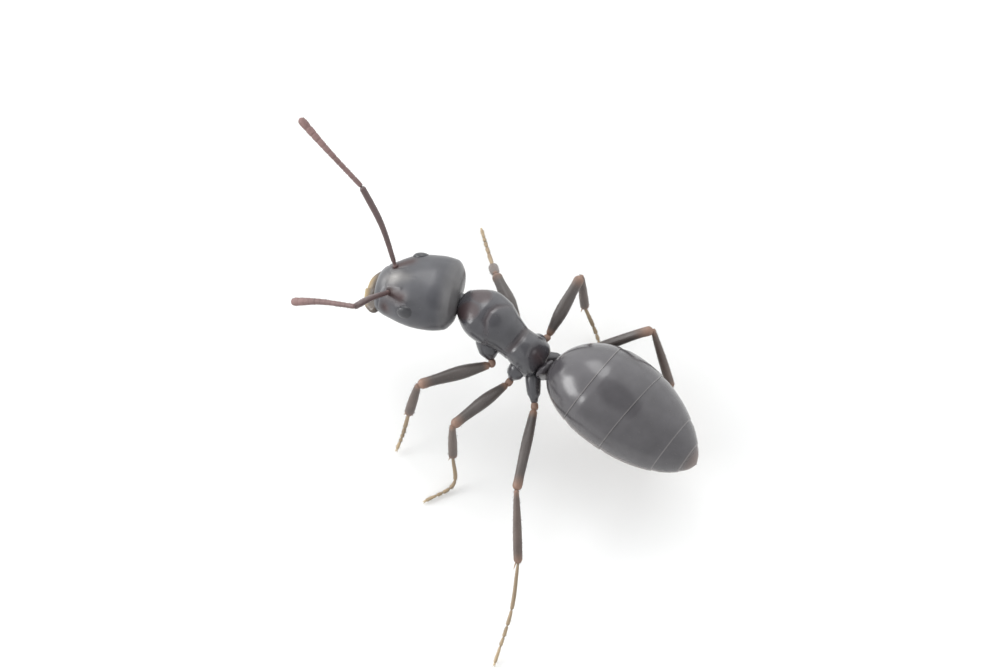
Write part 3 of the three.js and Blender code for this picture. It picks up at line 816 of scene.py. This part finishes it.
def mesosoma():
    """Trunk with its sutures, the waist before the propodeum and the hollow slope behind it."""
    grid = body(trunk_sections(), 0, TRUNK_END, TRUNK_RINGS, BODY_SIDES, 0.035, 0.13, 0.97)
    x, y, z = np.moveaxis(grid, -1, 0)
    profile_view = np.stack([y, z], axis=-1)
    plan = np.stack([x, y], axis=-1)
    side = smoothstep(np.abs(x), 0.1, 0.2)
    top = smoothstep(z, 0.12, 0.22)
    pronotal = near_line(np.stack([np.abs(x), y, z], axis=-1), PRONOTAL_SEAM)
    pleural = near_line(profile_view, PLEURAL_SEAM)
    metapleural = near_line(profile_view, METAPLEURAL_SEAM)
    lower = near_line(profile_view, LOWER_SEAM)
    waist = y + 0.06 * np.abs(x)
    height = (
        -0.012 * mark(pronotal, 0.03)
        - 0.01 * side * mark(pleural, 0.014)
        - 0.01 * side * mark(metapleural, 0.015)
        - 0.008 * side * mark(lower, 0.014)
        - 0.009 * top * mark(waist - WAIST, 0.045)
    )
    spiracle = both_sides(plan, ((0.17, 0.91), (0.17, 0.912)))
    height += top * (0.003 * mark(spiracle, 0.035) - 0.006 * mark(spiracle, 0.01))
    hole = near_line(profile_view, ((1.2, 0.13), (1.2, 0.132)))
    height += side * (0.009 * mark(hole - 0.02, 0.012) - 0.01 * mark(hole, 0.012))
    bulla = near_line(profile_view, ((1.22, -0.14), (1.34, -0.12)))
    height += side * 0.02 * mark(bulla, 0.06)
    slope = np.hypot(x / 0.12, (y - 1.31) / 0.13)
    rims = both_sides(plan, ((0.14, 1.2), (0.19, 1.31), (0.17, 1.39)))
    ridge = 0.016 * mark(np.abs(x), 0.035) * smoothstep(y, 1.2, 1.26)
    height += smoothstep(z, -0.1, 0.1) * (0.02 * mark(rims, 0.06) - 0.03 * mark(slope, 0.9) + ridge)
    # Painted reflection: a dark reddish patch on each front side of the pronotum, where the dark back of the
    # head is mirrored.
    head_reflection_spot = np.hypot((np.abs(x) - 0.14) / 0.13, (y - 0.2) / 0.13)
    tint = 0.7 * smoothstep(-head_reflection_spot, -1.3, -0.7) + 0.4 * mark(pronotal, 0.04)
    # Painted shade: darker in the groove before the propodeum.
    tint = tint + 0.45 * top * mark(waist - WAIST, 0.045)
    # Painted reflection: the hollow slope of the propodeum is darkened where it mirrors the dark gaster. The
    # last term makes the trunk darker and redder towards its underside.
    tint = np.clip(tint + 0.65 * mark(slope, 0.9) + 0.3 * (1 - smoothstep(z, -0.3, -0.2)), 0, 1)
    return on_mesosoma(relief(grid, height)), tint


def petiole():
    """Upright scale with a notched top, on a short stalk."""
    count, sides = 90, 120
    share = cosine_steps(count)
    low, high = PETIOLE_SECTIONS[0][0], PETIOLE_SECTIONS[-1][0]
    at = low + (high - low) * share
    half_width, half_thickness = table(PETIOLE_SECTIONS)(at).T
    to_end = np.sqrt(1 - (1 - np.clip((high - at) / 0.05, 0, 1)) ** 2)
    inset = 0.006
    angle = np.linspace(0, 2 * np.pi, sides, endpoint=False)
    x = (half_width - inset)[:, None] * to_end[:, None] * np.cos(angle)
    y = (half_thickness - inset)[:, None] * to_end[:, None] * np.sin(angle)
    z = at[:, None] - 0.03 * np.exp(-((x / 0.04) ** 2)) * smoothstep(at, 0.1, high)[:, None]
    scale = placed(np.stack([x, y, z], axis=-1), PETIOLE_CENTRE, 0, PETIOLE_YAW)
    stalk = limb((on_mesosoma((0, 1.3, -0.12)), (0, 0.27, 1.01), (-0.03, 0.38, 1.01), (-0.06, 0.5, 1.07)),
                 profile((0, 0.07), (0.3, 0.08), (0.6, 0.06), (1, 0.07)), 32, 50)
    return scale, stalk


def add_trunk():
    grid, tint = mesosoma()
    piece("mesosoma", [solid(grid, tint)], SHELL, ["pronotum", "mesonotum", "propodeum"])
    scale, stalk = petiole()
    piece("petiole_scale", [solid(scale, 0.2), solid(stalk, 0.4)], SHELL, ["petiole"])
    return grid


# ---- gaster ---------------------------------------------------------------------------------


def gaster_half_width(y):
    before = np.clip((GASTER_WIDEST - y) / GASTER_WIDEST, 0, 1)
    behind = np.clip((y - GASTER_WIDEST) / (GASTER_LENGTH - GASTER_WIDEST), 0, 1)
    front = (1 - before**GASTER_FRONT_POWER) ** (1 / GASTER_FRONT_POWER)
    tail = (1 - behind**2) ** GASTER_TAIL_POWER
    return np.maximum(GASTER_HALF_WIDTH * front * tail, GASTER_TIP)


def gaster_middle(y):
    return -GASTER_BOW * np.sin(np.pi * np.sqrt(np.clip(y / GASTER_LENGTH, 0, 1)))


def gaster_rings(at, grow, sides=240):
    """Slanted rings round the gaster, a little inside its solids."""
    angle = np.linspace(0, 2 * np.pi, sides, endpoint=False)
    slant = GASTER_SKEW * np.sin(np.pi * np.clip(at / GASTER_LENGTH, 0, 1)) * gaster_half_width(at)
    y = at[:, None] - slant[:, None] * np.cos(angle)
    half_width = np.maximum(gaster_half_width(y) - INSET + np.broadcast_to(grow, at.shape)[:, None], 0.001)
    arch = GASTER_ARCH * np.sin(np.pi * np.clip(y / GASTER_LENGTH, 0, 1))
    across = gaster_middle(y) + half_width * np.cos(angle)
    up = arch + GASTER_HEIGHT_SHARE * half_width * np.sin(angle)
    return np.stack([across, y, up], axis=-1)


PLATE_RINGS = 110
LIP = 0.007  # thickness of a plate's hind edge


def plate(index):
    """One plate of the gaster. It comes out from under the one before and ends in a thin lip."""
    start, end = GASTER_SEAMS[index - 1], GASTER_SEAMS[index]
    last = index == len(GASTER_SEAMS) - 1
    rounded = last or index == 1
    steps = cosine_steps(PLATE_RINGS) if rounded else np.linspace(0, 1, PLATE_RINGS)
    at = start + (end - start) * steps
    grow = -0.009 * (1 - smoothstep(at - start, 0.005, 0.12)) if index > 1 else 0 * at
    if last:
        grow = grow - 0.05 * (1 - np.sqrt(1 - (1 - np.clip((end - at) / 0.08, 0, 1)) ** 2))
    grid = gaster_rings(at, grow)
    if not last:
        inner_at = np.array((end + 0.0015, end + 0.0015, end - 0.004, end - 0.02))
        inner = gaster_rings(inner_at, np.array((-0.0015, -LIP * 0.7, -LIP, -LIP * 3)))
        grid = np.concatenate([grid, inner])
        at = np.r_[at, inner_at]
    low = -np.sin(np.linspace(0, 2 * np.pi, grid.shape[1], endpoint=False))[None, :]
    below = smoothstep(low, 0.78, 0.86)
    height = -0.012 * below * (smoothstep(at, 0.15, 0.5) * (1 - smoothstep(at, 2.0, 2.25)))[:, None]
    grid = relief(grid, height * np.ones_like(grid[..., 0]))
    rim = mark(np.clip(end - at, 0, 1), 0.01)[:, None] * (0 if last else 1)
    tint = 0.55 * smoothstep(low, -0.2, 0.45) + 0.4 * smoothstep(at, 2.15, 2.33)[:, None]
    return grid, np.clip(tint, 0, 1), 0.4 * rim


def add_gaster():
    grids = []
    for index in range(1, len(GASTER_SEAMS)):
        grid, tint, pale = plate(index)
        grid = placed(grid, GASTER_FRONT, GASTER_PITCH, GASTER_YAW)
        shapes = [solid(grid, tint, pale)]
        grids.append(grid)
        if index == len(GASTER_SEAMS) - 1:
            nozzle_line = ((-0.01, 2.22, -0.01), (-0.008, 2.3, -0.012))
            nozzle = limb(nozzle_line, profile((0, 0.05), (0.6, 0.045), (1, 0.035)), 24, 20)
            shapes.append(solid(placed(nozzle, GASTER_FRONT, GASTER_PITCH, GASTER_YAW), 0.8))
        piece(f"gaster_plate_{index}", shapes, GASTER, [f"gaster_segment_{index}"])
    return grids


# ---- legs -----------------------------------------------------------------------------------

TOES = (0, 0.46, 0.62, 0.74, 0.83, 1)  # where the foot's segments meet, as shares of its length
FOOT_STEPS = 120
COXA_RADIUS = {"front": 0.158, "middle": 0.124, "hind": 0.104}
# How far a femur's line stands off the straight at 0.4 and at 0.8 of its length.
FEMUR_BOW = ((0, 0, 0.02), (0, 0, 0.015))
BOW_UNDER_GASTER = ((-0.03, -0.03, -0.08), (0, 0, 0.05))


def claw(tip, forward, side, way):
    """Hooked claw of a foot, which points forward and down."""
    reach = 0.055
    steps = np.linspace(0, 1, 5)[:, None]
    out = 0.35 * way * side
    line = tip + reach * (steps * (forward + out) - 0.35 * steps**2 * UP - 0.25 * steps**2 * out)
    line[:, 2] = np.maximum(line[:, 2], 0.004)
    return limb(line, profile((0, 0.0085), (0.5, 0.006), (1, 0.002)), 10, 16)


def add_leg(name, joints):
    root, hip, knee, ankle, instep, tip = (np.array(p, float) for p in joints)
    femur_base, femur_middle, femur_knee, tibia_top, tibia_wide, foot = LEG_RADII[name.split("_")[0]]
    inward, outward = unit(hip - root), unit(knee - hip)
    coxa_end = hip - 0.05 * inward
    big = COXA_RADIUS[name.split("_")[0]]
    coxa_radii = profile((0, big * 0.9), (0.3, big), (0.7, big * 0.86), (0.9, big * 0.5), (1, 0.055))
    coxa = limb((root - 0.1 * inward, (root + coxa_end) / 2, coxa_end), coxa_radii, 32, 50)
    share = cosine_steps(50)[:, None]
    ring = limb((coxa_end - 0.03 * inward, hip - 0.01 * inward, hip + 0.05 * outward),
                profile((0, 0.04), (0.35, 0.05), (0.7, femur_base * 0.94), (1, femur_base * 0.8)), 28, 30)
    coxa_shape = solid(coxa, 0.6 * smoothstep(share, 0.85, 1))
    piece(f"coxa_{name}_shell", [coxa_shape], SHELL, [f"coxa_{name}"])
    bows = BOW_UNDER_GASTER if name == "hind_right" else FEMUR_BOW
    bent = [hip + (knee - hip) * at + np.array(bow) for at, bow in zip((0.4, 0.8), bows)]
    femur_radii = profile(
        (0, femur_base * 0.82), (0.07, femur_base), (0.42, femur_middle),
        (0.86, femur_knee), (0.94, femur_knee * 1.03), (1, femur_knee),
    )
    femur = limb((hip + 0.03 * outward, *bent, knee), femur_radii, 32, 80)
    share = cosine_steps(80)[:, None]
    ends = np.maximum(0.7 * (1 - smoothstep(share, 0.02, 0.14)), 0.65 * smoothstep(share, 0.78, 1))
    piece(f"femur_{name}_shell", [solid(ring, 0.6), solid(femur, ends)], LIMB, [f"femur_{name}"])
    down = unit(ankle - knee)
    tibia_radii = profile(
        (0, tibia_top * 0.8), (0.05, tibia_top * 0.82), (0.16, tibia_top * 1.02),
        (0.7, tibia_wide), (0.93, tibia_wide * 0.97), (1, tibia_wide * 0.72),
    )
    tibia = limb((knee - 0.012 * down, ankle), tibia_radii, 28, 70)
    share = cosine_steps(70)[:, None]
    ends = 0.12 + np.maximum(0.5 * (1 - smoothstep(share, 0.0, 0.14)), 0.5 * smoothstep(share, 0.82, 1))
    sideways = unit(np.cross(down, UP + 0.01))
    spur_root = ankle - 0.02 * down + 0.03 * sideways
    spur_tip = spur_root + 0.1 * unit(down + 0.35 * sideways)
    spur = limb((spur_root, spur_tip), profile((0, 0.011), (0.5, 0.008), (1, 0.002)), 10, 16)
    piece(f"tibia_{name}_shell", [solid(tibia, ends), solid(spur, 1, 0.4)], LIMB, [f"tibia_{name}"])
    tip = tip - 0.06 * unit(tip - instep) + 0.006 * UP
    line, _ = walk((ankle - 0.01 * down, instep, tip), np.linspace(0, 1, FOOT_STEPS + 1))
    line[:, 2] = np.maximum(line[:, 2], foot + 0.006)
    toes, grids = [], []
    for k, (first, last) in enumerate(zip(TOES, TOES[1:])):
        inside = line[int(FOOT_STEPS * first):int(FOOT_STEPS * last) + 1]
        wide = foot * (1.12 - 0.05 * k)
        toe_radii = profile((0, wide * 0.6), (0.2, wide * 0.82), (0.85, wide), (1, wide * 0.85))
        grid = limb(inside, toe_radii, 18, 30)
        toes.append(solid(grid, 0.25 + 0.15 * k))
        grids.append(grid)
    forward = unit(line[-1] - line[-8])
    side = unit(np.cross(forward, UP))
    toes += [solid(claw(line[-1] - 0.01 * forward, forward, side, way), 0.9, 0.2) for way in (1, -1)]
    pad_line = (line[-1] - 0.01 * forward, line[-1] + 0.03 * forward)
    pad = limb(pad_line, profile((0, 0.012), (0.6, 0.016), (1, 0.012)), 14, 14)
    piece(f"tarsus_{name}_shell", [*toes, solid(pad, 1, 0.5)], FOOT, [f"tarsus_{name}"])
    tufts = [
        hairs(coxa, 50, 0.035, 0.0011, 0.3),
        hairs(femur, 220, 0.035, 0.0011, 0.25),
        hairs(tibia, 260, 0.038, 0.0012, 0.4),
    ]
    tufts += [hairs(grid, 46, 0.032, 0.0011, 0.6) for grid in grids]
    coat(f"hairs_leg_{name}", tufts, HAIR, "leg")


# ---- stage ----------------------------------------------------------------------------------

CAMERA_AZIMUTH = 128.5
CAMERA_ELEVATION = 70
CAMERA_DISTANCE = 200
CAMERA_TARGET = (-0.084, -0.540, 1.0)
FRAME_WIDTH = 13.333
SENSOR = 36
FLOOR_HALF = 0.25  # in metres
# Soft lights: azimuth, elevation, distance, width, height, brightness.
LIGHTS = {
    "far window": (-36, 43, 100, 34, 48, 3.2),
    "near window": (34, 24, 100, 58, 36, 7),
    "front window": (6, 8, 100, 36, 12, 6),
}


def towards(azimuth, elevation):
    a, e = math.radians(azimuth), math.radians(elevation)
    return np.array((math.sin(a) * math.cos(e), -math.cos(a) * math.cos(e), math.sin(e)))


def aim(thing, target, back, distance):
    """Stands a light or camera off from a target and turns it to face it."""
    thing.location = to_row(np.array(target) + back * distance).tolist()
    thing.rotation_euler = Vector((-back).tolist()).to_track_quat("-Z", "Y").to_euler()


def add_camera():
    data = bpy.data.cameras.new("camera")
    data.sensor_width = SENSOR
    data.lens = SENSOR * CAMERA_DISTANCE / FRAME_WIDTH
    data.clip_start, data.clip_end = 0.01, 2
    camera = bpy.data.objects.new("camera", data)
    bpy.context.scene.collection.objects.link(camera)
    aim(camera, CAMERA_TARGET, towards(CAMERA_AZIMUTH, CAMERA_ELEVATION), CAMERA_DISTANCE)
    bpy.context.scene.camera = camera


def soft_box(name, azimuth, elevation, distance, width, height, brightness):
    """Rectangular soft light. Its brightness is that of its face, where 1 is white."""
    data = bpy.data.lights.new(name, "AREA")
    data.shape = "RECTANGLE"
    data.size, data.size_y = width * MM, height * MM
    data.energy = brightness * math.pi * data.size * data.size_y
    light = bpy.data.objects.new(name, data)
    bpy.context.scene.collection.objects.link(light)
    aim(light, (0, 0, 1), towards(azimuth, elevation), distance)


def add_floor():
    mesh = bpy.data.meshes.new("floor")
    corners = [(x * FLOOR_HALF, y * FLOOR_HALF, 0) for x, y in ((-1, -1), (1, -1), (1, 1), (-1, 1))]
    mesh.from_pydata(corners, [], [(0, 1, 2, 3)])
    material = bpy.data.materials.new("floor")
    material.use_nodes = True
    shader = material.node_tree.nodes["Principled BSDF"]
    shader.inputs["Base Color"].default_value = (0.86, 0.86, 0.85, 1)
    shader.inputs["Roughness"].default_value = 0.9
    mesh.materials.append(material)
    floor = bpy.data.objects.new("floor", mesh)
    bpy.context.scene.collection.objects.link(floor)


def add_world():
    """White surroundings, brighter in front of the ant's right side and dim straight overhead."""
    world = bpy.data.worlds.new("studio")
    world.use_nodes = True
    tree = world.node_tree
    background = tree.nodes["Background"]
    background.inputs["Color"].default_value = (0.98, 0.99, 1, 1)
    place = node(tree, "ShaderNodeTexCoord").outputs["Generated"]
    facing = node(tree, "ShaderNodeVectorMath", operation="DOT_PRODUCT")
    tree.links.new(place, facing.inputs[0])
    facing.inputs[1].default_value = towards(-50, 5)
    level = node(tree, "ShaderNodeSeparateXYZ")
    tree.links.new(place, level.inputs[0])
    strength = node(tree, "ShaderNodeMath", operation="MULTIPLY")
    tree.links.new(ranged(tree, facing.outputs["Value"], -0.5, 0.8, 0.95, 1.8), strength.inputs[0])
    tree.links.new(ranged(tree, level.outputs["Z"], 0.87, 0.93, 1, 0.35), strength.inputs[1])
    tree.links.new(strength.outputs[0], background.inputs["Strength"])
    bpy.context.scene.world = world


# ---- the ant --------------------------------------------------------------------------------

head_grid = add_head()
trunk_grid = add_trunk()
gaster_grids = add_gaster()
for leg_name, leg_joints in LEGS.items():
    add_leg(leg_name, leg_joints)
for feeler_name, feeler_joints in ANTENNAE.items():
    add_feeler(feeler_name, feeler_joints)
coat("hairs_head", [hairs(head_grid, 120, 0.03, 0.0009, 0.15)], HAIR, "shell")
coat("hairs_trunk", [hairs(trunk_grid, 120, 0.03, 0.0009, 0.15)], HAIR, "shell")
gaster_hairs = [hairs(grid, 70, 0.035, 0.0009, 0.12) for grid in gaster_grids[:-1]]
gaster_hairs.append(hairs(gaster_grids[-1], 40, 0.035, 0.0009, 0.12, rows=(0.02, 0.6)))
coat("hairs_gaster", gaster_hairs, HAIR, "gaster")

add_camera()
add_world()
add_floor()
for light_name, light_sizes in LIGHTS.items():
    soft_box(light_name, *light_sizes)
bpy.context.scene.view_settings.view_transform = "Standard"
